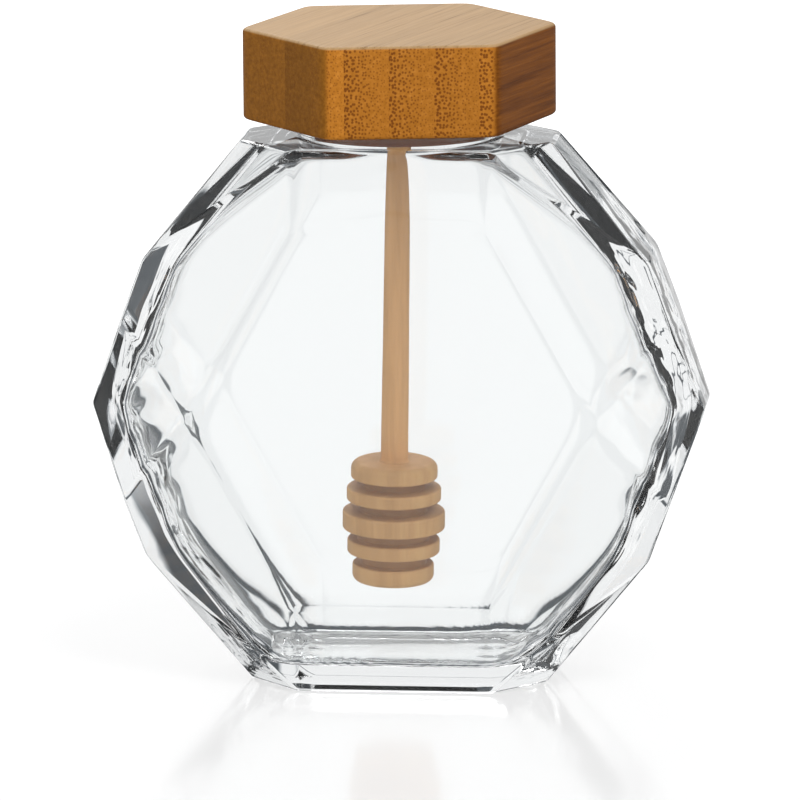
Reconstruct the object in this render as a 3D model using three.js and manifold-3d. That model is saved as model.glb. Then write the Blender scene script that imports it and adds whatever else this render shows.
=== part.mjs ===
// Faceted six-sided glass jar with a bamboo lid and a wooden honey dipper hanging inside it.
// Sizes are in millimetres and +Z is up. The origin is the middle of the foot, on the table.
import * as THREE from 'three';
import { ConvexGeometry } from 'three/addons/geometries/ConvexGeometry.js';
import { mergeVertices } from 'three/addons/utils/BufferGeometryUtils.js';
import Module from 'manifold-3d';

// Outside of the glass. A corner is given for one quarter of one half of the jar:
// x from the axis, depth from the middle plane, and rise from the widest level, up or down.
const middleHeight = 55.6;
const shoulderRise = 53.4;
const windowSide = new THREE.Vector3(41.0, 24.8, 0);
const windowCorner = new THREE.Vector3(19.9, 24.8, 38.0);
const browLean = THREE.MathUtils.degToRad(13);
const ridgeEnd = new THREE.Vector3(61.3, 9.0, 0);
const elbow = new THREE.Vector3(50.3, 13.3, 30.0);
const footCorner = { x: 29.6, depth: 9.2 };
const shoulderCorner = { x: 31.0, depth: 8.0 };

// Walls, floor and the shallow hollow under the foot.
const wall = { window: 4.2, brow: 4.0, bevel: 4.2, diamond: 4.6, slope: 4.4, end: 6.2, side: 7.0 };
const floorThickness = 5.2;
const roofThickness = 1.8;
const windowBlend = 0.4;
const sideBlend = 0.5;
const floorBlend = 0.9;
const floorBlendReach = 12;
const footRim = 5.0;
const footHollow = 1.0;

// Round neck and mouth.
const neckRadius = 20.2;
const mouthRadius = 17.4;
const mouthFlare = 0.8;
const neckFillet = 0.7;
const rimRound = 1.0;
const neckBlend = 1.0;

// Lid: a block with six sides, and the round plug under it, cut from one piece of bamboo.
const lidBottom = 112.7;
const lidThickness = 18.3;
const lidHalfWidth = 31.4;
const lidHalfFront = 16.8;
const lidApothem = 28.8;
const lidCornerRound = 2.0;
const lidEdgeRound = 1.3;
const plugEdge = 0.5;
const lidTurn = THREE.MathUtils.degToRad(10);
const plugRadius = 16.9;
const plugDepth = 3.6;
const socketRadius = 2.75;
const socketDepth = 10;

// Dipper: a round stick and a head of five rings, hanging askew with its head to the left and back.
const stickTopRadius = 2.35;
const stickFootRadius = 2.75;
const headTop = 42.3;
const rings = [
  { radius: 8.7, height: 3.4, space: 1.9 },
  { radius: 9.5, height: 2.7, space: 2.1 },
  { radius: 10.3, height: 3.7, space: 2.1 },
  { radius: 9.3, height: 2.9, space: 2.2 },
  { radius: 8.2, height: 3.9, space: 0 },
];
const ringEdgeRound = 0.5;
const headEdgeRound = 1.5;
const grooveShare = 0.7;
const leanLeft = THREE.MathUtils.degToRad(1.4);
const leanBack = THREE.MathUtils.degToRad(3);

// Clearance between touching pieces, and how finely the curved faces are cut.
const gap = 0.3;
const bodySegments = 64;
const downRows = 13;
const upRows = 22;
const roundSegments = 40;
const roundSteps = 3;

const rimRise = lidBottom - gap - middleHeight;
const plugBottom = lidBottom - plugDepth;
const socketTop = plugBottom + socketDepth;
const stickTop = socketTop - gap;

const wasm = await Module();
wasm.setup();

// Solids and meshes
function toSolid(geometry) {
  const bare = geometry.clone();
  bare.deleteAttribute('normal');
  bare.deleteAttribute('uv');
  const merged = mergeVertices(bare, 1e-4);
  const vertProperties = new Float32Array(merged.attributes.position.array);
  const triVerts = new Uint32Array(merged.index.array);
  return new wasm.Manifold(new wasm.Mesh({ numProp: 3, vertProperties, triVerts }));
}

function toGeometry(solid) {
  const mesh = solid.getMesh();
  const geometry = new THREE.BufferGeometry();
  geometry.setAttribute('position', new THREE.BufferAttribute(mesh.vertProperties, mesh.numProp));
  geometry.setIndex(new THREE.BufferAttribute(mesh.triVerts, 1));
  geometry.computeVertexNormals();
  return geometry;
}

function lathe(profile, segments) {
  const points = profile.map(([radius, height]) => new THREE.Vector2(radius, height));
  return new THREE.LatheGeometry(points, segments).rotateX(Math.PI / 2);
}

// Planes of the facets, with the jar's widest level at height zero
function planeThrough(first, second, third) {
  const plane = new THREE.Plane().setFromCoplanarPoints(first, second, third);
  return plane.constant > 0 ? plane.negate() : plane;
}

function planeAt(normal, point) {
  return new THREE.Plane().setFromNormalAndCoplanarPoint(normal.normalize(), point);
}

function meet(first, second, third) {
  const cross = new THREE.Vector3().crossVectors(second.normal, third.normal);
  const volume = first.normal.dot(cross);
  if (Math.abs(volume) < 1e-6) return null;
  const point = cross.multiplyScalar(-first.constant);
  point.addScaledVector(new THREE.Vector3().crossVectors(third.normal, first.normal), -second.constant);
  point.addScaledVector(new THREE.Vector3().crossVectors(first.normal, second.normal), -third.constant);
  return point.divideScalar(volume);
}

function mirrored(plane, halves) {
  const { x, y, z } = plane.normal;
  const copies = [];
  for (const signX of Math.abs(x) > 1e-9 ? [1, -1] : [1]) {
    for (const signY of Math.abs(y) > 1e-9 ? [1, -1] : [1]) {
      for (const signZ of halves) {
        const normal = new THREE.Vector3(x * signX, y * signY, z * signZ);
        copies.push(new THREE.Plane(normal, plane.constant));
      }
    }
  }
  return copies;
}

// The facets that reach one ring, the foot's or the shoulder's, at this rise from the widest level.
function ringFacets(rise, corner, half) {
  const level = planeAt(new THREE.Vector3(0, 0, 1), new THREE.Vector3(0, 0, rise));
  const ridgeSide = new THREE.Vector3(elbow.x, 0, elbow.z);
  const ringSide = new THREE.Vector3(corner.x, corner.depth, rise);
  const brow = planeAt(new THREE.Vector3(0, Math.cos(browLean), Math.sin(browLean)), windowCorner);
  const bevel = planeThrough(windowSide, windowCorner, elbow);
  const end = planeThrough(elbow, ridgeSide, ringSide);
  const slope = planeThrough(elbow, meet(brow, bevel, level), ringSide);
  const side = planeThrough(ridgeEnd, elbow, ridgeSide);
  const facets = [
    { plane: level, wall: half < 0 ? floorThickness : roofThickness },
    { plane: brow, wall: wall.brow },
    { plane: bevel, wall: wall.bevel },
    { plane: slope, wall: wall.slope },
    { plane: end, wall: wall.end },
    { plane: side, wall: wall.side },
  ];
  return facets.flatMap(({ plane, wall: thickness }) =>
    mirrored(plane, [half]).map((copy) => ({ plane: copy, wall: thickness })));
}

function jarFacets() {
  const window = planeAt(new THREE.Vector3(0, 1, 0), windowSide);
  const diamondTop = new THREE.Vector3(ridgeEnd.x, ridgeEnd.y, 1);
  const diamond = planeThrough(windowSide, ridgeEnd, diamondTop);
  return [
    ...mirrored(window, [1]).map((plane) => ({ plane, wall: wall.window })),
    ...mirrored(diamond, [1]).map((plane) => ({ plane, wall: wall.diamond })),
    ...ringFacets(middleHeight, footCorner, -1),
    ...ringFacets(shoulderRise, shoulderCorner, 1),
  ];
}

function facetedHull(facets) {
  const planes = facets.map((facet) => facet.plane);
  const corners = [];
  for (let i = 0; i < planes.length; i += 1) {
    for (let j = i + 1; j < planes.length; j += 1) {
      for (let k = j + 1; k < planes.length; k += 1) {
        const point = meet(planes[i], planes[j], planes[k]);
        const inside = point && planes.every((plane) => plane.distanceToPoint(point) < 1e-3);
        if (inside && !corners.some((corner) => corner.distanceTo(point) < 0.01)) corners.push(point);
      }
    }
  }
  return new ConvexGeometry(corners);
}

// Inside of the glass: the facets moved in by the wall, with edges that are softer at the sides and the floor
function cavityValue(point, facets) {
  const sideShare = THREE.MathUtils.smoothstep(Math.abs(point.x), windowCorner.x, windowSide.x);
  const floorRise = floorThickness - middleHeight;
  const wallShare = THREE.MathUtils.smoothstep(point.z, floorRise + 2, floorRise + floorBlendReach);
  const wallBlend = THREE.MathUtils.lerp(windowBlend, sideBlend, sideShare);
  const blend = THREE.MathUtils.lerp(floorBlend, wallBlend, wallShare);
  const values = facets.map((facet) => facet.plane.distanceToPoint(point) + facet.wall);
  const peak = Math.max(...values);
  const sum = values.reduce((total, value) => total + Math.exp((value - peak) / blend), 0);
  return peak + blend * Math.log(sum);
}

function mouthValue(point) {
  const flare = mouthFlare * THREE.MathUtils.smoothstep(point.z, rimRise - mouthFlare, rimRise);
  const fadeIn = Math.max(0, shoulderRise - 12 - point.z) * 0.5;
  return Math.hypot(point.x, point.y) - mouthRadius - flare + fadeIn;
}

function insideValue(point, facets) {
  if (point.z <= 0) return cavityValue(point, facets);
  const cavity = cavityValue(point, facets);
  const mouth = mouthValue(point);
  const spread = Math.exp(-Math.abs(cavity - mouth) / neckBlend);
  return Math.min(cavity, mouth) - neckBlend * Math.log1p(spread);
}

function surfacePoint(origin, direction, facets) {
  let near = 0;
  let far = 80;
  for (let step = 0; step < 40; step += 1) {
    const middle = (near + far) / 2;
    const point = origin.clone().addScaledVector(direction, middle);
    if (insideValue(point, facets) < 0) near = middle;
    else far = middle;
  }
  return origin.clone().addScaledVector(direction, near);
}

// One level of the inside: level rays from the axis, or rays tilted down from the widest level.
function cavityRow(rise, tilt, facets) {
  const neckShare = THREE.MathUtils.smoothstep(rise, windowCorner.z / 2, shoulderRise);
  const stretch = THREE.MathUtils.lerp(ridgeEnd.x / windowSide.y, 1, neckShare);
  const row = [];
  for (let segment = 0; segment < bodySegments; segment += 1) {
    const turn = 2 * Math.PI * segment / bodySegments;
    const flat = new THREE.Vector3(stretch * Math.cos(turn), Math.sin(turn), 0).normalize();
    const direction = flat.multiplyScalar(Math.cos(tilt)).setZ(Math.sin(tilt));
    row.push(surfacePoint(new THREE.Vector3(0, 0, rise), direction, facets));
  }
  return row;
}

function closedRows(rows, low, high) {
  const count = rows[0].length;
  const points = [...rows.flat(), low, high];
  const faces = [];
  for (let segment = 0; segment < count; segment += 1) {
    const next = (segment + 1) % count;
    faces.push(points.length - 2, next, segment);
    const last = (rows.length - 1) * count;
    faces.push(points.length - 1, last + segment, last + next);
    for (let row = 0; row + 1 < rows.length; row += 1) {
      const here = row * count;
      const above = here + count;
      faces.push(here + segment, here + next, above + next);
      faces.push(here + segment, above + next, above + segment);
    }
  }
  const geometry = new THREE.BufferGeometry().setFromPoints(points);
  geometry.setIndex(faces);
  return geometry;
}

function cavity(facets) {
  const rows = [];
  for (let index = downRows; index > 0; index -= 1) {
    rows.push(cavityRow(0, -Math.PI / 2 * index / (downRows + 1), facets));
  }
  for (let index = 0; index < upRows; index += 1) {
    rows.push(cavityRow((rimRise - mouthFlare) * index / (upRows - 1), 0, facets));
  }
  for (const rise of [rimRise - mouthFlare / 2, rimRise, rimRise + 1]) rows.push(cavityRow(rise, 0, facets));
  const down = new THREE.Vector3(0, 0, -1);
  const low = surfacePoint(new THREE.Vector3(), down, facets);
  const high = new THREE.Vector3(0, 0, rows.at(-1)[0].z);
  return closedRows(rows, low, high);
}

function neck() {
  const root = shoulderRise - 1;
  const points = [[0, root], [neckRadius + neckFillet, root], [neckRadius + neckFillet, shoulderRise]];
  for (let step = 1; step <= roundSteps; step += 1) {
    const turn = Math.PI / 2 * step / roundSteps;
    const radius = neckRadius + neckFillet * (1 - Math.sin(turn));
    points.push([radius, shoulderRise + neckFillet * (1 - Math.cos(turn))]);
  }
  for (let step = 0; step <= roundSteps; step += 1) {
    const turn = Math.PI / 2 * step / roundSteps;
    const radius = neckRadius - rimRound * (1 - Math.cos(turn));
    points.push([radius, rimRise - rimRound * (1 - Math.sin(turn))]);
  }
  points.push([0, rimRise]);
  return lathe(points, bodySegments);
}

// The hollow under the foot follows the foot's outline, one rim's width inside it.
function footRecess(facets) {
  const shrink = (length) => (length - footRim) / length;
  const scale = [shrink(footCorner.x), shrink(neckRadius), 1];
  const lowered = toSolid(facetedHull(facets)).scale(scale).translate([0, 0, -footHollow]);
  const slab = new THREE.BoxGeometry(3 * ridgeEnd.x, 3 * ridgeEnd.x, 4 * footHollow);
  const cutter = slab.translate(0, 0, -middleHeight - footHollow);
  return lowered.intersect(toSolid(cutter));
}

function glass() {
  const facets = jarFacets();
  const outside = toSolid(facetedHull(facets)).add(toSolid(neck()));
  const solid = outside.subtract(toSolid(cavity(facets))).subtract(footRecess(facets));
  return toGeometry(solid).translate(0, 0, middleHeight);
}

// Turns a shape from upright to the dipper's lean, about the top of the stick.
function leaning(geometry) {
  return geometry.translate(0, 0, -stickTop).rotateX(leanBack).rotateY(leanLeft).translate(0, 0, stickTop);
}

// Lid with its plug and the socket that holds the stick
function lidOutline() {
  const corners = [
    [lidHalfWidth, 0], [lidHalfFront, lidApothem], [-lidHalfFront, lidApothem],
    [-lidHalfWidth, 0], [-lidHalfFront, -lidApothem], [lidHalfFront, -lidApothem],
  ].map(([x, y]) => new THREE.Vector2(x, y).multiplyScalar(1 - lidEdgeRound / lidApothem));
  const shape = new THREE.Shape();
  corners.forEach((corner, index) => {
    const before = corners.at(index - 1);
    const after = corners[(index + 1) % corners.length];
    const enter = corner.clone().add(before.clone().sub(corner).setLength(lidCornerRound));
    const leave = corner.clone().add(after.clone().sub(corner).setLength(lidCornerRound));
    if (index === 0) shape.moveTo(enter.x, enter.y);
    else shape.lineTo(enter.x, enter.y);
    shape.quadraticCurveTo(corner.x, corner.y, leave.x, leave.y);
  });
  shape.closePath();
  return shape;
}

function lid() {
  const block = new THREE.ExtrudeGeometry(lidOutline(), {
    depth: lidThickness - 2 * lidEdgeRound,
    bevelThickness: lidEdgeRound,
    bevelSize: lidEdgeRound,
    bevelSegments: 4,
    curveSegments: 4,
  }).translate(0, 0, lidBottom + lidEdgeRound);
  const plugTop = lidBottom + 2;
  const plug = lathe([
    [0, plugBottom], [plugRadius - plugEdge, plugBottom], [plugRadius, plugBottom + plugEdge],
    [plugRadius, plugTop], [0, plugTop],
  ], roundSegments);
  const socket = leaning(lathe([
    [0, plugBottom - 1], [socketRadius, plugBottom - 1], [socketRadius, socketTop], [0, socketTop],
  ], roundSegments / 2)).rotateZ(-lidTurn);
  return toGeometry(toSolid(block).add(toSolid(plug)).subtract(toSolid(socket)));
}

// Dipper
function ringProfile(top, { radius, height }, topRound, footRound) {
  const points = [];
  for (let step = 0; step <= roundSteps; step += 1) {
    const turn = Math.PI / 2 * step / roundSteps;
    points.push([radius - topRound * (1 - Math.sin(turn)), top - topRound * (1 - Math.cos(turn))]);
  }
  for (let step = 0; step <= roundSteps; step += 1) {
    const turn = Math.PI / 2 * step / roundSteps;
    const edge = top - height + footRound * (1 - Math.sin(turn));
    points.push([radius - footRound * (1 - Math.cos(turn)), edge]);
  }
  return points;
}

function dipper() {
  const profile = [
    [0, stickTop], [stickTopRadius - gap, stickTop], [stickTopRadius, stickTop - gap],
    [(stickTopRadius + stickFootRadius) / 2, (stickTop + headTop) / 2],
    [stickFootRadius, headTop + gap], [stickFootRadius + gap, headTop],
  ];
  let top = headTop;
  rings.forEach((ring, index) => {
    const last = index === rings.length - 1;
    const topRound = index === 0 ? headEdgeRound : ringEdgeRound;
    profile.push(...ringProfile(top, ring, topRound, last ? headEdgeRound : ringEdgeRound));
    top -= ring.height;
    if (last) return;
    profile.push([grooveShare * ring.radius, top]);
    top -= ring.space;
    profile.push([grooveShare * ring.radius, top]);
  });
  profile.push([0, top]);
  return leaning(lathe(profile.reverse(), roundSegments));
}

function piece(name, geometry, colour, roughness, extra = {}) {
  const material = new THREE.MeshStandardMaterial({ color: colour, roughness, metalness: 0, ...extra });
  const mesh = new THREE.Mesh(geometry, material);
  mesh.name = name;
  return mesh;
}

const jar = new THREE.Group();
jar.add(piece('jar_glass', glass(), 0xe9eff0, 0.03, { transparent: true, opacity: 0.3 }));
const lidMesh = piece('lid', lid(), 0xb9803f, 0.55);
lidMesh.rotation.z = lidTurn;
jar.add(lidMesh);
jar.add(piece('dipper', dipper(), 0xc8a073, 0.7));

export default jar;
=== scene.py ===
import math

import bmesh
import bpy
import numpy as np
from mathutils import Matrix, Vector


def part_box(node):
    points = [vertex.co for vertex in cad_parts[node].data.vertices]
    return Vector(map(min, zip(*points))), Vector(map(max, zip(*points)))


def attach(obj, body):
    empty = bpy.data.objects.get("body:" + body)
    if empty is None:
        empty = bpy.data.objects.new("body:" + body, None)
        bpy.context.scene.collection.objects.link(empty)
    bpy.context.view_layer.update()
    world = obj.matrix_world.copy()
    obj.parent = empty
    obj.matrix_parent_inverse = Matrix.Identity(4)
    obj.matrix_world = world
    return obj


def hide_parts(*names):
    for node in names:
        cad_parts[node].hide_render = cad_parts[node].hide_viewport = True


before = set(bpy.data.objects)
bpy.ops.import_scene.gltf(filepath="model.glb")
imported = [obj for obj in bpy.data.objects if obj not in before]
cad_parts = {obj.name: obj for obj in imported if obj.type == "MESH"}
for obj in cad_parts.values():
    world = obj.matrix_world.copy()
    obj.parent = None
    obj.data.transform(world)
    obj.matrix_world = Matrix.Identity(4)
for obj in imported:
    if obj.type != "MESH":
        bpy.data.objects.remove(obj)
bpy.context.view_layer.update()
MM = 0.001
GLASS_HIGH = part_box("jar_glass")[1]
LID_LOW, LID_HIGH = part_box("lid")

# Glass: heights of the widest level, the shoulder and the rim, and how near a facet counts as on it
MIDDLE_HEIGHT = 55.6 * MM
SHOULDER_HEIGHT = 109.0 * MM
ABOVE_SHOULDER = SHOULDER_HEIGHT + 0.01 * MM
RIM_HEIGHT = GLASS_HIGH.z
FACET_TOLERANCE = 0.02 * MM

# Walls behind the facets, and how softly the hollow's walls meet: in the window, at the sides, at the floor
WINDOW_WALL = 4.2 * MM
BROW_WALL = 4.0 * MM
BEVEL_WALL = 4.2 * MM
DIAMOND_WALL = 4.6 * MM
SLOPE_WALL = 4.4 * MM
END_WALL = 6.2 * MM
SIDE_WALL = 7.0 * MM
FLOOR_THICKNESS = 5.2 * MM
ROOF_THICKNESS = 1.8 * MM
WINDOW_BLEND = 0.4 * MM
SIDE_BLEND = 0.5 * MM
FLOOR_BLEND = 0.6 * MM
FLOOR_BLEND_START = 2 * MM
FLOOR_BLEND_END = 12 * MM
WINDOW_CORNER_X = 19.9 * MM
WINDOW_SIDE_X = 41.0 * MM

# Neck, mouth, outer edges and foot
NECK_BLEND = 1.0 * MM
NECK_RADIUS = 20.2 * MM
NECK_FILLET = 0.7 * MM
NECK_ROOT = 1 * MM
MOUTH_RADIUS = 17.4 * MM
MOUTH_FLARE = 0.8 * MM
MOUTH_REACH = 12 * MM
RIM_ROUND = 1.0 * MM
EDGE_ROUND = 0.8 * MM
FOOT_RIM = 5.0 * MM
FOOT_SLOPE = 1.6 * MM
FOOT_HOLLOW = 1.0 * MM

# Inside surface: how finely it is cut, and the slight unevenness of pressed glass in the shape
CAVITY_SEGMENTS = 240
DOWN_ROWS = 70
UP_ROWS = 110
WAVE_DEPTH = 0.2 * MM

# Ripples in the shading: their share, and where they fade in and out. They are out at the sides, behind the
# front faces, in front of the back window and below the neck.
RIPPLE_SHARE = 36
RIPPLE_ACROSS = (38 * MM, 50 * MM)
RIPPLE_FRONT = (-12 * MM, -4 * MM)
RIPPLE_BACK = (10 * MM, 16 * MM)
RIPPLE_TOP = (98 * MM, 106 * MM)

# Lid, in its own turned axes. As the photo shows it, it is 1.6 mm deeper at the front and at the back than
# the CAD lid, and 0.3 mm wider at each side.
LID_TURN = math.radians(10)
LID_HALF_WIDTH = 31.7 * MM
LID_HALF_FRONT = 16.8 * MM
LID_APOTHEM = 30.4 * MM
LID_BOTTOM = 112.7 * MM
LID_TOP = LID_HIGH.z
LID_CORNER_BLEND = 0.75 * MM
LID_EDGE_ROUND = 0.9 * MM
LID_TOP_INSETS = (4 * MM, 9 * MM, 16 * MM, 22 * MM)
PLUG_RADIUS = 16.9 * MM
PLUG_BOTTOM = LID_LOW.z
PLUG_EDGE_ROUND = 0.6 * MM
SOCKET_RADIUS = 2.75 * MM
SOCKET_DEPTH = 10 * MM
SOCKET_FLARE = 0.2 * MM
SOCKET_FLARE_DEPTH = 0.4 * MM
LID_SEGMENTS = 360
GRAIN_ANGLE = math.atan2(LID_APOTHEM, LID_HALF_WIDTH - LID_HALF_FRONT)
SLAT_WIDTH = 7.9 * MM
FIRST_SLAT = 0.205
DOT_DENSITY = (1.55, 1.3)
FACE_TURN = (0.3, 0.75)

# Dipper, which hangs askew from the top of its stick, with the head to the left and back. Each ring of the
# head, from the top, has its radius, its height and the space under it in millimetres.
STICK_TOP = PLUG_BOTTOM + SOCKET_DEPTH - 0.3 * MM
STICK_TOP_RADIUS = 2.35 * MM
STICK_FOOT_RADIUS = 2.75 * MM
STICK_EDGE = 0.3 * MM
HEAD_TOP = 42.3 * MM
RINGS = [(8.7, 3.4, 1.9), (9.5, 2.7, 2.1), (10.3, 3.7, 2.1), (9.3, 2.9, 2.2), (8.2, 3.9, 0)]
GROOVE_SHARE = 0.7
GROOVE_CORNER = 0.25 * MM
GROOVE_SHADE = 0.55
RING_EDGE_ROUND = 0.45 * MM
HEAD_EDGE_ROUND = 1.5 * MM
DIPPER_SEGMENTS = 128
LEAN_TURN = Matrix.Rotation(math.radians(1.4), 4, "Y") @ Matrix.Rotation(math.radians(3), 4, "X")
LEAN = Matrix.Translation((0, 0, STICK_TOP)) @ LEAN_TURN @ Matrix.Translation((0, 0, -STICK_TOP))

# Camera: a long lens a little above and to the right of the front window
CAMERA_AZIMUTH = math.radians(5.9)
CAMERA_ELEVATION = math.radians(10.8)
CAMERA_DISTANCE = 1.563
CAMERA_ROLL = math.radians(0.4)
AIM_LEFT = 0.39 * MM
AIM_DOWN = 0.29 * MM
FRAME_WIDTH = 0.160
SENSOR_WIDTH = 36.0

# Light tent. GLOW multiplies all of it. The others are shares of the bright card behind the jar: the card's
# outer part, the dark cards at the left and at the right, the light beyond them, the card in front, the
# light from high above, the dark band below, the bright surface under that, the shade right under the
# foot, the thin dark gap near the horizon, and the least share anywhere.
GLOW = 1.035
CARD_EDGE = 0.91
LEFT_DARK = 0.16
RIGHT_DARK = 0.3
SIDE_LIGHT = 0.85
FRONT_CARD = 0.62
HIGH_LIGHT = 0.3
LOW_DARK = 0.1
UNDER_LIGHT = 0.92
FOOT_SHADE = 0.2
GAP_LIGHT = 0.1
DARKEST = 0.06

# Where these change, as the degrees between which each change is smooth: away from the straight view, then
# round the jar to the side, then up and down, and last the gap's rise and the change away from it
CARD_FADE = (4, 8)
DARK_FADE = (42, 62)
SIDE_FADE = (82, 100)
FRONT_FADE = (112, 130)
HIGH_FADE = (25, 60)
LOW_FADE = (-23, -18)
UNDER_FADE = (-46, -40)
FOOT_FADE = (-82, -72)
GAP_RISE = 3
GAP_FADE = (0.5, 1.4)

# White floor: its own light near the jar, which grows to 1 between these distances
FLOOR_LIGHT = 0.66
FLOOR_FADE = (0.12, 0.4)


# Meshes
def new_object(name, mesh):
    piece = bpy.data.objects.new(name, mesh)
    bpy.context.scene.collection.objects.link(piece)
    return piece


def mesh_of_rows(name, rows, low, high):
    """A closed mesh of rings of points, from the low centre up to the high centre."""
    count = len(rows[0])
    points = [tuple(point) for row in rows for point in row]
    points += [tuple(low), tuple(high)]
    faces = []
    last = (len(rows) - 1) * count
    for segment in range(count):
        after = (segment + 1) % count
        faces.append((len(points) - 2, after, segment))
        faces.append((len(points) - 1, last + segment, last + after))
        for row in range(len(rows) - 1):
            here = row * count
            above = here + count
            faces.append((here + segment, here + after, above + after, above + segment))
    mesh = bpy.data.meshes.new(name)
    mesh.from_pydata(points, [], faces)
    mesh.update()
    return mesh


def circle(radius, height, count):
    turns = np.arange(count) * 2 * math.pi / count
    return [(radius * math.cos(turn), radius * math.sin(turn), height) for turn in turns]


def lathe(name, profile, count):
    rows = [circle(radius, height, count) for radius, height in profile[1:-1]]
    return mesh_of_rows(name, rows, (0, 0, profile[0][1]), (0, 0, profile[-1][1]))


def rounded_corner(radius, height, size, start, steps=6):
    """Points of a quarter round of this size whose centre is at radius, height."""
    turns = [math.radians(start + 90 * step / steps) for step in range(steps + 1)]
    return [(radius + size * math.cos(turn), height + size * math.sin(turn)) for turn in turns]


def smooth_shaded(mesh):
    mesh.polygons.foreach_set("use_smooth", [True] * len(mesh.polygons))


def joined(first, second, operation):
    """First with second added or cut away, as one applied mesh."""
    modifier = first.modifiers.new("join", "BOOLEAN")
    modifier.object = second
    modifier.operation = operation
    modifier.solver = "EXACT"
    graph = bpy.context.evaluated_depsgraph_get()
    mesh = bpy.data.meshes.new_from_object(first.evaluated_get(graph))
    first.modifiers.clear()
    first.data = mesh
    bpy.data.objects.remove(second)
    return first


# Glass
def outside_planes(mesh):
    """Normals and distances of the flat outside faces of the CAD glass below the neck."""
    corners = np.array([v.co for v in mesh.vertices])
    below = corners[corners[:, 2] < ABOVE_SHOULDER]
    found = {}
    for face in mesh.polygons:
        normal = np.array(face.normal)
        distance = float(normal @ corners[face.vertices[0]])
        on_neck = face.center.z > ABOVE_SHOULDER
        if on_neck or face.area < 1e-9 or (below @ normal).max() > distance + FACET_TOLERANCE:
            continue
        found[tuple(np.round(normal, 2))] = (normal, distance)
    normals = np.array([normal for normal, distance in found.values()])
    distances = np.array([distance for normal, distance in found.values()])
    return normals, distances


def outside_hull(normals, distances, mesh):
    """The faceted outside without its neck, each facet one face, with rounded edges and a hollow foot."""
    build = bmesh.new()
    for vertex in mesh.vertices:
        gaps = distances - normals @ np.array(vertex.co)
        if np.sum(np.abs(gaps) < FACET_TOLERANCE) >= 3:
            build.verts.new(vertex.co)
    bmesh.ops.convex_hull(build, input=build.verts)
    bmesh.ops.remove_doubles(build, verts=build.verts, dist=0.05 * MM)
    bmesh.ops.dissolve_limit(build, angle_limit=math.radians(1), verts=build.verts, edges=build.edges)
    bmesh.ops.bevel(build, geom=build.edges[:], offset=EDGE_ROUND, offset_type="OFFSET",
                    segments=4, profile=0.5, affect="EDGES", clamp_overlap=True)
    foot = max((face for face in build.faces if face.normal.z < -0.99), key=lambda face: face.calc_area())
    bmesh.ops.inset_region(build, faces=[foot], thickness=FOOT_RIM, use_even_offset=True)
    bmesh.ops.inset_region(build, faces=[foot], thickness=FOOT_SLOPE, depth=-FOOT_HOLLOW)
    result = bpy.data.meshes.new("glass_outside")
    build.to_mesh(result)
    build.free()
    return new_object("glass_outside", result)


def neck_profile():
    root = SHOULDER_HEIGHT - NECK_ROOT
    points = [(0, root), (NECK_RADIUS + NECK_FILLET, root)]
    for step in range(7):
        turn = math.pi / 2 * step / 6
        radius = NECK_RADIUS + NECK_FILLET * (1 - math.sin(turn))
        points.append((radius, SHOULDER_HEIGHT + NECK_FILLET * (1 - math.cos(turn))))
    points += rounded_corner(NECK_RADIUS - RIM_ROUND, RIM_HEIGHT - RIM_ROUND, RIM_ROUND, 0)
    points.append((0, RIM_HEIGHT))
    return points


def facet_walls(normals):
    """Wall behind each facet, told apart by the way the facet faces."""
    across, deep, up = np.abs(normals).T
    walls = np.full(len(normals), WINDOW_WALL)
    walls[(across < 0.1) & (up > 0.1)] = BROW_WALL
    walls[(across > 0.3) & (deep > 0.8)] = BEVEL_WALL
    walls[(across > 0.3) & (deep > 0.7) & (up < 0.1)] = DIAMOND_WALL
    walls[(across > 0.3) & (deep > 0.3) & (up > 0.4)] = SLOPE_WALL
    walls[(deep < 0.1) & (across > 0.6)] = END_WALL
    walls[(deep < 0.1) & (across > 0.9)] = SIDE_WALL
    walls[normals[:, 2] < -0.99] = FLOOR_THICKNESS
    walls[normals[:, 2] > 0.99] = ROOF_THICKNESS
    return walls


def cavity_value(points, normals, inner):
    """Below zero inside the hollow, whose edges are softer at the sides, and softest at the floor."""
    side_share = smoothstep(np.abs(points[:, 0]), WINDOW_CORNER_X, WINDOW_SIDE_X)
    blend = WINDOW_BLEND + (SIDE_BLEND - WINDOW_BLEND) * side_share
    start = FLOOR_THICKNESS + FLOOR_BLEND_START
    end = FLOOR_THICKNESS + FLOOR_BLEND_END
    floor_share = 1 - smoothstep(points[:, 2], start, end)
    blend = blend + (FLOOR_BLEND - blend) * floor_share
    values = points @ normals.T - inner
    peak = values.max(axis=1)
    return peak + blend * np.log(np.exp((values - peak[:, None]) / blend[:, None]).sum(axis=1))


def smoothstep(value, low, high):
    share = np.clip((value - low) / (high - low), 0, 1)
    return share * share * (3 - 2 * share)


def mouth_value(points):
    height = points[:, 2]
    flare = MOUTH_FLARE * smoothstep(height, RIM_HEIGHT - MOUTH_FLARE, RIM_HEIGHT)
    narrowing = np.maximum(0, SHOULDER_HEIGHT - MOUTH_REACH - height) * 0.5
    return np.hypot(points[:, 0], points[:, 1]) - MOUTH_RADIUS - flare + narrowing


def inside_value(points, normals, inner):
    cavity = cavity_value(points, normals, inner)
    mouth = mouth_value(points)
    lower = np.minimum(cavity, mouth)
    spread = np.exp(-np.abs(cavity - mouth) / NECK_BLEND)
    joined_value = lower - NECK_BLEND * np.log1p(spread)
    return np.where(points[:, 2] > MIDDLE_HEIGHT, joined_value, cavity)


def cast(origins, directions, value):
    """How far each ray runs before the value turns positive."""
    near = np.zeros(len(origins))
    far = np.full(len(origins), 0.09)
    for step in range(36):
        middle = (near + far) / 2
        inside = value(origins + directions * middle[:, None]) < 0
        near = np.where(inside, middle, near)
        far = np.where(inside, far, middle)
    return near


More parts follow.
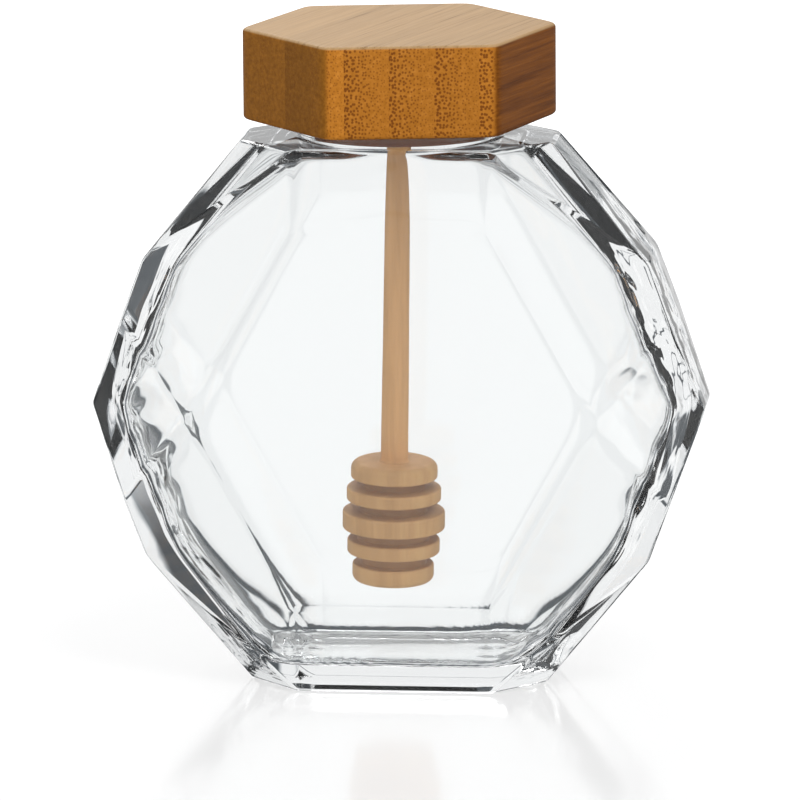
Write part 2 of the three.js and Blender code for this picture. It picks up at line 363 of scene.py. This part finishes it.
def waves(points):
    """Unevenness of the inside of pressed glass, at the narrow sides and round the corners of the floor."""
    x, y, z = (points / MM).T
    ripple = np.sin(0.46 * z + 0.9 * np.sin(0.21 * x)) * np.sin(0.37 * y + 0.13 * z + 1.3)
    ripple += 0.6 * np.sin(0.83 * z + 0.44 * y + 0.6) * np.sin(0.36 * x + 0.8)
    ripple += 0.35 * np.sin(1.1 * y + 0.52 * z) * np.sin(0.61 * x - 0.55 * z)
    at_sides = smoothstep(np.abs(x), 40, 48)
    at_floor = smoothstep(np.abs(x), 15, 20) * (1 - smoothstep(z, 11, 16))
    below_neck = 1 - smoothstep(z, 96, 104)
    return WAVE_DEPTH * ripple * np.maximum(at_sides, at_floor) * below_neck


def cavity_object(normals, inner, stretch):
    turns = np.arange(CAVITY_SEGMENTS) * 2 * math.pi / CAVITY_SEGMENTS
    origins, directions = [], []
    rays = [(MIDDLE_HEIGHT, -math.pi / 2 * index / (DOWN_ROWS + 1)) for index in range(DOWN_ROWS, 0, -1)]
    rise = RIM_HEIGHT - MOUTH_FLARE - MIDDLE_HEIGHT
    rays += [(MIDDLE_HEIGHT + rise * index / (UP_ROWS - 1), 0) for index in range(UP_ROWS)]
    rays += [(RIM_HEIGHT - MOUTH_FLARE * share, 0) for share in (0.75, 0.5, 0.25, 0)]
    rays.append((RIM_HEIGHT + 1 * MM, 0))
    for height, tilt in rays:
        neck_share = smoothstep(height, MIDDLE_HEIGHT + 18 * MM, SHOULDER_HEIGHT)
        wide = stretch + (1 - stretch) * neck_share
        flat = np.stack([wide * np.cos(turns), np.sin(turns), np.zeros(CAVITY_SEGMENTS)], axis=1)
        flat /= np.linalg.norm(flat, axis=1)[:, None]
        direction = flat * math.cos(tilt)
        direction[:, 2] = math.sin(tilt)
        directions.append(direction)
        origins.append(np.tile((0, 0, height), (CAVITY_SEGMENTS, 1)))
    origins = np.concatenate(origins)
    directions = np.concatenate(directions)
    reach = cast(origins, directions, lambda points: inside_value(points, normals, inner))
    points = origins + directions * reach[:, None]
    points += directions * waves(points)[:, None]
    rows = points.reshape(len(rays), CAVITY_SEGMENTS, 3)
    low = (0, 0, FLOOR_THICKNESS)
    high = (0, 0, rays[-1][0])
    return new_object("glass_inside", mesh_of_rows("glass_inside", rows, low, high))


def build_glass():
    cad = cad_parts["jar_glass"].data
    normals, distances = outside_planes(cad)
    stretch = GLASS_HIGH.x / GLASS_HIGH.y
    outside = outside_hull(normals, distances, cad)
    neck = new_object("neck", lathe("neck", neck_profile(), CAVITY_SEGMENTS))
    inside = cavity_object(normals, distances - facet_walls(normals), stretch)
    glass = joined(joined(outside, neck, "UNION"), inside, "DIFFERENCE")
    glass.name = "glass_body"
    smooth_shaded(glass.data)
    weighted = glass.modifiers.new("facet_normals", "WEIGHTED_NORMAL")
    weighted.mode = "FACE_AREA_WITH_ANGLE"
    weighted.weight = 60
    weighted.keep_sharp = False
    glass.data.materials.clear()
    glass.data.materials.append(glass_material())
    return glass


# Lid
def lid_outline(inset):
    """Reach of the lid's softly cornered outline in each direction, this far inside its edge."""
    side = Vector((LID_APOTHEM, LID_HALF_WIDTH - LID_HALF_FRONT)).normalized()
    normals = [(0, 1, 0), (0, -1, 0)]
    normals += [(sx * side.x, sy * side.y, 0) for sx in (1, -1) for sy in (1, -1)]
    normals = np.array(normals)
    distances = np.array([LID_APOTHEM] * 2 + [LID_HALF_WIDTH * side.x] * 4) - inset
    turns = np.arange(LID_SEGMENTS) * 2 * math.pi / LID_SEGMENTS
    directions = np.stack([np.cos(turns), np.sin(turns), 0 * turns], axis=1)

    def value(points):
        shares = (points @ normals.T - distances) / LID_CORNER_BLEND
        return LID_CORNER_BLEND * np.log(np.exp(shares).sum(axis=1))

    return directions * cast(np.zeros_like(directions), directions, value)[:, None]


def lid_row(inset, height):
    row = lid_outline(inset)
    row[:, 2] = height
    return row


def build_lid():
    soft = LID_EDGE_ROUND
    socket_lean = Matrix.Rotation(-LID_TURN, 4, "Z") @ LEAN
    socket_rows = [circle(SOCKET_RADIUS, PLUG_BOTTOM + SOCKET_DEPTH, LID_SEGMENTS)]
    socket_rows.append(circle(SOCKET_RADIUS, PLUG_BOTTOM + SOCKET_FLARE_DEPTH, LID_SEGMENTS))
    rows = [[tuple(socket_lean @ Vector(point)) for point in row] for row in socket_rows]
    flare = circle(SOCKET_RADIUS + SOCKET_FLARE, PLUG_BOTTOM, LID_SEGMENTS)
    mouth = [socket_lean @ Vector(point) for point in flare]
    rows.append([(point.x, point.y, PLUG_BOTTOM) for point in mouth])
    rows.append(circle(PLUG_RADIUS * 0.6, PLUG_BOTTOM, LID_SEGMENTS))
    plug_soft = PLUG_EDGE_ROUND
    plug_edge = rounded_corner(PLUG_RADIUS - plug_soft, PLUG_BOTTOM + plug_soft, plug_soft, -90)
    rows += [circle(radius, height, LID_SEGMENTS) for radius, height in plug_edge]
    rows.append(circle(PLUG_RADIUS, LID_BOTTOM, LID_SEGMENTS))
    rows.append(circle(PLUG_RADIUS + 1 * MM, LID_BOTTOM, LID_SEGMENTS))
    rows.append(lid_row(4 * MM, LID_BOTTOM))
    for inset, height in rounded_corner(-soft, LID_BOTTOM + soft, soft, -90):
        rows.append(lid_row(-inset, height))
    for inset, height in rounded_corner(-soft, LID_TOP - soft, soft, 0):
        rows.append(lid_row(-inset, height))
    for inset in LID_TOP_INSETS:
        rows.append(lid_row(inset, LID_TOP))
    socket_end = socket_lean @ Vector((0, 0, PLUG_BOTTOM + SOCKET_DEPTH))
    mesh = mesh_of_rows("bamboo_lid", rows, socket_end, (0, 0, LID_TOP))
    lid = new_object("bamboo_lid", mesh)
    lid.rotation_euler.z = LID_TURN
    smooth_shaded(mesh)
    mesh.set_sharp_from_angle(angle=math.radians(40))
    mesh.materials.append(bamboo_material())
    return lid


# Dipper
def dipper_profile():
    points = [(0, STICK_TOP), (STICK_TOP_RADIUS - STICK_EDGE, STICK_TOP)]
    points.append((STICK_TOP_RADIUS, STICK_TOP - STICK_EDGE))
    for step in range(1, 12):
        share = step / 12
        radius = STICK_TOP_RADIUS + (STICK_FOOT_RADIUS - STICK_TOP_RADIUS) * share
        points.append((radius, STICK_TOP + (HEAD_TOP + 1 * MM - STICK_TOP) * share))
    points += [(STICK_FOOT_RADIUS, HEAD_TOP + 0.4 * MM), (STICK_FOOT_RADIUS + 0.3 * MM, HEAD_TOP)]
    top = HEAD_TOP
    for index, (radius, height, space) in enumerate(RINGS):
        radius, height, space = radius * MM, height * MM, space * MM
        upper = HEAD_EDGE_ROUND if index == 0 else RING_EDGE_ROUND
        lower = HEAD_EDGE_ROUND if space == 0 else RING_EDGE_ROUND
        over = rounded_corner(radius - upper, top - upper, upper, 0)
        points += over[::-1]
        under = rounded_corner(radius - lower, top - height + lower, lower, -90)
        points += under[::-1]
        top -= height
        if space:
            groove = GROOVE_SHARE * radius
            points.append((groove + GROOVE_CORNER, top))
            points.append((groove, top - GROOVE_CORNER))
            top -= space
            points.append((groove, top + GROOVE_CORNER))
            points.append((groove + GROOVE_CORNER, top))
    points.append((0, top))
    return points[::-1]


def build_dipper():
    mesh = lathe("honey_dipper", dipper_profile(), DIPPER_SEGMENTS)
    mesh.transform(LEAN)
    dipper = new_object("honey_dipper", mesh)
    smooth_shaded(mesh)
    mesh.set_sharp_from_angle(angle=math.radians(35))
    mesh.materials.append(dipper_wood())
    return dipper


# Materials
class Nodes:
    """The node tree of a material or a world, with short calls for the nodes used here."""

    def __init__(self, holder):
        holder.use_nodes = True
        self.material = holder
        self.tree = holder.node_tree
        self.shader = self.tree.nodes.get("Principled BSDF")

    def add(self, kind, **settings):
        node = self.tree.nodes.new(kind)
        for key, value in settings.items():
            setattr(node, key, value)
        return node

    def link(self, source, target):
        if isinstance(source, bpy.types.NodeSocket):
            self.tree.links.new(source, target)
        else:
            target.default_value = source

    def math(self, operation, first, second=0.0, third=0.0):
        node = self.add("ShaderNodeMath", operation=operation)
        for index, value in enumerate((first, second, third)):
            self.link(value, node.inputs[index])
        return node.outputs[0]

    def step(self, value, low, high, first=0.0, second=1.0):
        """A smooth change from first to second while the value goes from low to high."""
        node = self.add("ShaderNodeMapRange", interpolation_type="SMOOTHSTEP")
        for socket, entry in zip(node.inputs, (value, low, high, first, second)):
            self.link(entry, socket)
        return node.outputs[0]

    def split(self, vector):
        node = self.add("ShaderNodeSeparateXYZ")
        self.link(vector, node.inputs[0])
        return node.outputs

    def mapped(self, vector, scale, rotation=(0, 0, 0)):
        """The vector turned first, and then scaled."""
        turned = self.add("ShaderNodeMapping", vector_type="TEXTURE")
        turned.inputs["Rotation"].default_value = rotation
        self.link(vector, turned.inputs["Vector"])
        scaled = self.add("ShaderNodeMapping")
        scaled.inputs["Scale"].default_value = scale
        self.link(turned.outputs[0], scaled.inputs["Vector"])
        return scaled.outputs[0]

    def noise(self, vector, scale, detail=3.0, roughness=0.5):
        node = self.add("ShaderNodeTexNoise")
        self.link(vector, node.inputs["Vector"])
        node.inputs["Scale"].default_value = scale
        node.inputs["Detail"].default_value = detail
        node.inputs["Roughness"].default_value = roughness
        return node.outputs["Fac"]

    def ramp(self, value, stops):
        node = self.add("ShaderNodeValToRGB")
        self.link(value, node.inputs[0])
        elements = node.color_ramp.elements
        while len(elements) < len(stops):
            elements.new(0.5)
        for element, (position, colour) in zip(elements, stops):
            element.position = position
            element.color = (*colour, 1)
        return node.outputs[0]

    def mix(self, factor, first, second, blend="MIX"):
        node = self.add("ShaderNodeMix", data_type="RGBA", blend_type=blend)
        self.link(factor, node.inputs[0])
        for socket, value in ((node.inputs[6], first), (node.inputs[7], second)):
            self.link((*value, 1) if isinstance(value, tuple) else value, socket)
        return node.outputs[2]

    def bump(self, height, strength, distance):
        node = self.add("ShaderNodeBump")
        node.inputs["Strength"].default_value = strength
        node.inputs["Distance"].default_value = distance
        self.link(height, node.inputs["Height"])
        self.link(node.outputs[0], self.shader.inputs["Normal"])


def glass_material():
    nodes = Nodes(bpy.data.materials.new("clear_glass"))
    shader = nodes.shader
    shader.inputs["Base Color"].default_value = (0.985, 0.995, 0.995, 1)
    shader.inputs["Roughness"].default_value = 0.0
    shader.inputs["IOR"].default_value = 1.5
    shader.inputs["Transmission Weight"].default_value = 0.985
    place = nodes.add("ShaderNodeTexCoord").outputs["Object"]
    x, y, z = nodes.split(place)
    # Pressed glass is wavy at its narrow sides, behind the front faces
    at_sides = nodes.step(nodes.math("ABSOLUTE", x), *RIPPLE_ACROSS)
    behind_front = nodes.step(y, *RIPPLE_FRONT)
    before_back = nodes.step(y, *RIPPLE_BACK, 1.0, 0.0)
    below_neck = nodes.step(z, *RIPPLE_TOP, 1.0, 0.0)
    rippled = nodes.math("MULTIPLY", at_sides, nodes.math("MULTIPLY", behind_front, below_neck))
    rippled = nodes.math("MULTIPLY", rippled, before_back)
    slow = nodes.noise(place, 70.0, 1.0)
    ripple = nodes.noise(place, 140.0, 1.0, 0.4)
    height = nodes.math("MULTIPLY_ADD", nodes.math("MULTIPLY", ripple, RIPPLE_SHARE), rippled, slow)
    nodes.bump(height, 0.12, 0.4 * MM)
    return nodes.material


def shifted_by_slat(nodes, grain, number):
    """The grain's coordinates, moved by another amount in each slat, so that no two slats are alike."""
    shift = nodes.add("ShaderNodeCombineXYZ")
    nodes.link(nodes.math("MULTIPLY", number, 17.3), shift.inputs["X"])
    nodes.link(nodes.math("MULTIPLY", number, 5.1), shift.inputs["Z"])
    moved = nodes.add("ShaderNodeVectorMath", operation="ADD")
    nodes.link(grain, moved.inputs[0])
    nodes.link(shift.outputs[0], moved.inputs[1])
    return moved.outputs[0]


def fibre_dots(nodes, moved, phase):
    """The cut ends of the fibre bundles, which grow towards one side of each slat."""
    shifted = nodes.split(moved)
    section = nodes.add("ShaderNodeCombineXYZ")
    nodes.link(nodes.math("MULTIPLY", shifted["Y"], DOT_DENSITY[0]), section.inputs["X"])
    nodes.link(nodes.math("MULTIPLY", shifted["Z"], DOT_DENSITY[1]), section.inputs["Y"])
    dots = nodes.add("ShaderNodeTexVoronoi", voronoi_dimensions="2D", feature="F1")
    nodes.link(section.outputs[0], dots.inputs["Vector"])
    dots.inputs["Scale"].default_value = 1.0
    dots.inputs["Randomness"].default_value = 0.8
    size = nodes.math("MULTIPLY_ADD", phase, 0.22, 0.22)
    return nodes.step(nodes.math("SUBTRACT", size, dots.outputs["Distance"]), -0.02, 0.14)


def bamboo_colour_and_light(nodes, streaks, end_grain, on_top, shaded_left_face):
    """Base colour by face, with painted light: pale on top as if lit from above, and dark on the sides along
    the grain as painted shade. Sides that cut the grain are warm, with the front painted lit and the left
    painted in shade.
    """
    lit_top_colour = nodes.ramp(streaks, [(0.3, (0.19, 0.108, 0.044)), (0.42, (0.29, 0.182, 0.085)),
                                      (0.7, (0.36, 0.230, 0.112))])
    shaded_side_colour = nodes.ramp(streaks, [(0.3, (0.08, 0.021, 0.001)), (0.55, (0.165, 0.050, 0.003)),
                                       (0.75, (0.24, 0.080, 0.008))])
    lit_front_colour = nodes.ramp(streaks, [(0.3, (0.29, 0.102, 0.008)), (0.55, (0.37, 0.136, 0.015)),
                                        (0.75, (0.45, 0.178, 0.026))])
    shaded_left_colour = nodes.ramp(streaks, [(0.3, (0.155, 0.056, 0.004)), (0.7, (0.255, 0.099, 0.010))])
    end_grain_lit_and_shaded = nodes.mix(shaded_left_face, lit_front_colour, shaded_left_colour)
    return nodes.mix(on_top, nodes.mix(end_grain, shaded_side_colour, end_grain_lit_and_shaded), lit_top_colour)


def bamboo_material():
    nodes = Nodes(bpy.data.materials.new("laminated_bamboo"))
    coordinates = nodes.add("ShaderNodeTexCoord")
    place = coordinates.outputs["Object"]
    along = (0, 0, GRAIN_ANGLE)
    # Slats side by side, each with its own tone, its own dots where the grain ends and streaks along it
    grain = nodes.mapped(place, (1 / MM,) * 3, along)
    slat = nodes.math("ADD", nodes.math("DIVIDE", nodes.split(grain)["Y"], SLAT_WIDTH / MM), FIRST_SLAT)
    number = nodes.math("FLOOR", slat)
    phase = nodes.math("FRACT", slat)
    tone = nodes.add("ShaderNodeTexWhiteNoise", noise_dimensions="1D")
    nodes.link(number, tone.inputs["W"])
    moved = shifted_by_slat(nodes, grain, number)
    dot = fibre_dots(nodes, moved, phase)
    streaks = nodes.noise(nodes.mapped(moved, (0.02, 1.0, 1.0)), 1.1, 5.0, 0.7)
    fine = nodes.noise(nodes.mapped(moved, (0.03, 1.0, 1.0)), 5.5, 2.0)
    # How squarely a face cuts across the grain, and which face it is, which also picks each face's painted
    # light and shade
    facing = nodes.mapped(coordinates.outputs["Normal"], (1, 1, 1), along)
    end_grain = nodes.step(nodes.math("ABSOLUTE", nodes.split(facing)["X"]), *FACE_TURN)
    normal = nodes.split(coordinates.outputs["Normal"])
    on_top = nodes.step(normal["Z"], *FACE_TURN)
    # The left face is painted in shade
    shaded_left_face = nodes.step(normal["X"], -FACE_TURN[1], -FACE_TURN[0], 1.0, 0.0)
    # The plug under the lid is painted dark, as painted shade under the lid's rim
    shaded_plug = nodes.step(nodes.split(place)["Z"], LID_BOTTOM - 0.3 * MM, LID_BOTTOM, 1.0, 0.0)
    colour = bamboo_colour_and_light(nodes, streaks, end_grain, on_top, shaded_left_face)
    slat_tone = nodes.math("MULTIPLY_ADD", tone.outputs[0], 0.26, 0.84)
    toned = nodes.mix(nodes.math("MULTIPLY_ADD", on_top, -0.7, 1.0), colour, (1.0, 1.0, 1.0), "MULTIPLY")
    nodes.link(slat_tone, toned.node.inputs[7])
    # The dots are only on faces that cut the grain, and fainter on the left face to match its painted shade
    dot_share = nodes.math("MULTIPLY", dot, nodes.math("MULTIPLY_ADD", phase, 0.45, 0.45))
    dot_share = nodes.math("MULTIPLY", dot_share, nodes.math("MULTIPLY_ADD", shaded_left_face, -0.75, 1.0))
    cut = nodes.math("MULTIPLY", end_grain, nodes.math("SUBTRACT", 1.0, on_top))
    dot_share = nodes.math("MULTIPLY", dot_share, cut)
    dotted = nodes.mix(dot_share, toned, (0.12, 0.032, 0.003))
    # Painted shade: the dark colour of the plug under the lid
    nodes.link(nodes.mix(shaded_plug, dotted, (0.20, 0.058, 0.010)), nodes.shader.inputs["Base Color"])
    nodes.link(nodes.math("MULTIPLY_ADD", fine, 0.16, 0.45), nodes.shader.inputs["Roughness"])
    nodes.shader.inputs["Specular IOR Level"].default_value = 0.06
    nodes.bump(nodes.math("MULTIPLY_ADD", dot_share, -0.6, fine), 0.22, 0.12 * MM)
    return nodes.material


def dipper_wood():
    nodes = Nodes(bpy.data.materials.new("turned_beech"))
    place = nodes.add("ShaderNodeTexCoord").outputs["Object"]
    grain = nodes.mapped(place, (1 / MM, 1 / MM, 0.04 / MM))
    broad = nodes.noise(grain, 0.35, 3.0, 0.55)
    fine = nodes.noise(grain, 2.2, 4.0, 0.6)
    colour = nodes.ramp(broad, [(0.25, (0.63, 0.33, 0.115)), (0.55, (0.74, 0.40, 0.155)),
                                (0.8, (0.82, 0.48, 0.20))])
    flecks = nodes.ramp(fine, [(0.35, (0.80, 0.76, 0.70)), (0.6, (1, 1, 1))])
    final = nodes.mix(0.35, colour, flecks, "MULTIPLY")
    # Painted shade: the head is darker than the stick, and the grooves between its rings are darker still
    top = Vector((0, 0, STICK_TOP))
    axis = LEAN.to_3x3() @ Vector((0, 0, 1))
    level = nodes.add("ShaderNodeVectorMath", operation="DOT_PRODUCT")
    nodes.link(place, level.inputs[0])
    level.inputs[1].default_value = axis
    height = nodes.math("ADD", level.outputs["Value"], STICK_TOP - axis.dot(top))
    shaded_head = nodes.step(height, HEAD_TOP - 0.3 * MM, HEAD_TOP + 0.5 * MM, 1.0, 0.0)
    final = nodes.mix(shaded_head, final, nodes.mix(1.0, final, (0.84, 0.86, 0.84), "MULTIPLY"))
    groove_top = HEAD_TOP
    for _, ring, space in RINGS[:-1]:
        groove_top -= ring * MM
        middle = groove_top - space * MM / 2
        away = nodes.math("ABSOLUTE", nodes.math("SUBTRACT", height, middle))
        # Painted shade in each groove
        inside = nodes.step(away, space * MM * 0.38, space * MM * 0.62, GROOVE_SHADE, 0.0)
        final = nodes.mix(inside, final, (0.27, 0.11, 0.03))
        groove_top -= space * MM
    nodes.link(final, nodes.shader.inputs["Base Color"])
    nodes.shader.inputs["Roughness"].default_value = 0.62
    nodes.bump(fine, 0.2, 0.1 * MM)
    return nodes.material


# Floor, light and camera
def floor_material():
    """White and slightly glossy where the camera sees it, and clear to the light tent for all other rays."""
    nodes = Nodes(bpy.data.materials.new("white_floor"))
    place = nodes.add("ShaderNodeTexCoord").outputs["Object"]
    cloud = nodes.noise(place, 6.0, 2.0)
    colour = nodes.ramp(cloud, [(0.3, (0.14, 0.14, 0.14)), (0.7, (0.16, 0.16, 0.16))])
    nodes.link(colour, nodes.shader.inputs["Base Color"])
    nodes.shader.inputs["Roughness"].default_value = 0.12
    nodes.shader.inputs["Specular IOR Level"].default_value = 0.1
    nodes.shader.inputs["Emission Color"].default_value = (1, 1, 1, 1)
    away = nodes.add("ShaderNodeVectorMath", operation="LENGTH")
    nodes.link(place, away.inputs[0])
    own_light = nodes.step(away.outputs["Value"], *FLOOR_FADE, FLOOR_LIGHT, 1.0)
    nodes.link(own_light, nodes.shader.inputs["Emission Strength"])
    clear = nodes.add("ShaderNodeBsdfTransparent")
    choice = nodes.add("ShaderNodeMixShader")
    nodes.link(nodes.add("ShaderNodeLightPath").outputs["Is Camera Ray"], choice.inputs[0])
    nodes.link(clear.outputs[0], choice.inputs[1])
    nodes.link(nodes.shader.outputs[0], choice.inputs[2])
    nodes.link(choice.outputs[0], nodes.tree.nodes["Material Output"].inputs["Surface"])
    return nodes.material


def in_radians(angles):
    return [math.radians(angle) for angle in angles]


def light_round_jar(nodes, direction, turn):
    """Share of light by how far the direction is turned from the bright card round to the front."""
    aside = nodes.math("ABSOLUTE", turn)
    ahead = nodes.add("ShaderNodeVectorMath", operation="DOT_PRODUCT")
    nodes.link(direction, ahead.inputs[0])
    ahead.inputs[1].default_value = -camera_side()
    start, end = in_radians(CARD_FADE)
    behind = nodes.step(ahead.outputs["Value"], math.cos(end), math.cos(start), CARD_EDGE, 1.0)
    side_dark = nodes.step(turn, -0.2, 0.2, LEFT_DARK, RIGHT_DARK)
    middle = nodes.step(aside, *in_radians(DARK_FADE), behind, side_dark)
    outer = nodes.step(aside, *in_radians(SIDE_FADE), middle, SIDE_LIGHT)
    return nodes.step(aside, *in_radians(FRONT_FADE), outer, FRONT_CARD)


def light_by_rise(nodes, rise):
    """Share of light by how high the direction rises."""
    high = nodes.step(rise, *in_radians(HIGH_FADE), 1.0, HIGH_LIGHT)
    low = nodes.step(rise, *in_radians(LOW_FADE), LOW_DARK, 1.0)
    under = nodes.step(rise, *in_radians(UNDER_FADE), UNDER_LIGHT, 0.0)
    foot_shade = nodes.step(rise, *in_radians(FOOT_FADE), FOOT_SHADE, 1.0)
    low = nodes.math("MAXIMUM", low, nodes.math("MULTIPLY", under, foot_shade))
    from_gap = nodes.math("ABSOLUTE", nodes.math("SUBTRACT", rise, math.radians(GAP_RISE)))
    low = nodes.math("MULTIPLY", low, nodes.step(from_gap, *in_radians(GAP_FADE), GAP_LIGHT, 1.0))
    return nodes.math("MULTIPLY", high, low)


def tent_light(nodes, direction):
    """Light from one direction: the tent's cards for the glass, and a soft front light for the wood."""
    x, y, z = nodes.split(direction)
    level_squared = nodes.math("ADD", nodes.math("MULTIPLY", x, x), nodes.math("MULTIPLY", y, y))
    turn = nodes.math("ADD", nodes.math("ARCTAN2", x, y), CAMERA_AZIMUTH)
    rise = nodes.math("ARCTAN2", z, nodes.math("SQRT", level_squared))
    pattern = nodes.math("MULTIPLY", light_round_jar(nodes, direction, turn), light_by_rise(nodes, rise))
    pattern = nodes.math("MAXIMUM", pattern, DARKEST)
    tinted = nodes.ramp(pattern, [(0.0, (0.0, 0.0, 0.0)), (0.1, (0.088, 0.098, 0.108)),
                                  (0.5, (0.48, 0.5, 0.52)), (1.0, (1.0, 1.0, 1.0))])
    lit = nodes.mix(1.0, tinted, (GLOW,) * 3, "MULTIPLY")
    soft = nodes.step(y, -0.9, 0.2, 1.25, 0.75)
    on_wood = nodes.math("GREATER_THAN", nodes.add("ShaderNodeLightPath").outputs["Diffuse Depth"], 0.5)
    return nodes.mix(on_wood, lit, soft)


def build_floor():
    build = bmesh.new()
    bmesh.ops.create_grid(build, x_segments=8, y_segments=8, size=6)
    mesh = bpy.data.meshes.new("floor")
    build.to_mesh(mesh)
    build.free()
    mesh.materials.append(floor_material())
    floor = new_object("floor", mesh)


def build_world():
    """A light tent round the jar, plain white where the camera sees it."""
    world = bpy.data.worlds.new("studio")
    bpy.context.scene.world = world
    nodes = Nodes(world)
    direction = nodes.add("ShaderNodeTexCoord").outputs["Generated"]
    seen = nodes.add("ShaderNodeLightPath").outputs["Is Camera Ray"]
    colour = nodes.mix(seen, tent_light(nodes, direction), (1.0, 1.0, 1.0))
    nodes.link(colour, nodes.tree.nodes["Background"].inputs["Color"])


def add_area(name, place, target, size, power):
    light = bpy.data.lights.new(name, "AREA")
    light.shape = "DISK"
    light.size = size
    light.energy = power
    lamp = new_object(name, light)
    lamp.location = place
    lamp.rotation_euler = (Vector(target) - Vector(place)).to_track_quat("-Z", "Y").to_euler()


def build_lights():
    middle = (0, 0, MIDDLE_HEIGHT)
    add_area("key", (0.35, -0.55, 1.1), middle, 0.5, 9)
    add_area("back", (-0.3, 1.0, 0.9), middle, 0.8, 8)


def camera_side():
    """The direction from the jar towards the camera."""
    level = math.cos(CAMERA_ELEVATION)
    turn = CAMERA_AZIMUTH
    return Vector((math.sin(turn) * level, -math.cos(turn) * level, math.sin(CAMERA_ELEVATION)))


def build_camera():
    camera = bpy.data.cameras.new("camera")
    camera.sensor_width = SENSOR_WIDTH
    camera.lens = SENSOR_WIDTH * CAMERA_DISTANCE / FRAME_WIDTH
    camera.clip_end = 100
    holder = new_object("camera", camera)
    away = camera_side()
    facing = (-away).to_track_quat("-Z", "Y")
    right = facing @ Vector((1, 0, 0))
    up = facing @ Vector((0, 1, 0))
    aim = Vector((0, 0, MIDDLE_HEIGHT)) - AIM_LEFT * right - AIM_DOWN * up
    holder.location = aim + away * CAMERA_DISTANCE
    holder.rotation_euler = facing.to_euler()
    holder.rotation_euler.rotate_axis("Z", -CAMERA_ROLL)
    bpy.context.scene.camera = holder
    bpy.context.scene.view_settings.view_transform = "Standard"


build_camera()
build_world()
build_lights()
build_floor()

glass = build_glass()
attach(glass, "root")
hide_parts("jar_glass")

lid = build_lid()
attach(lid, "root")
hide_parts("lid")

dipper = build_dipper()
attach(dipper, "root")
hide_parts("dipper")
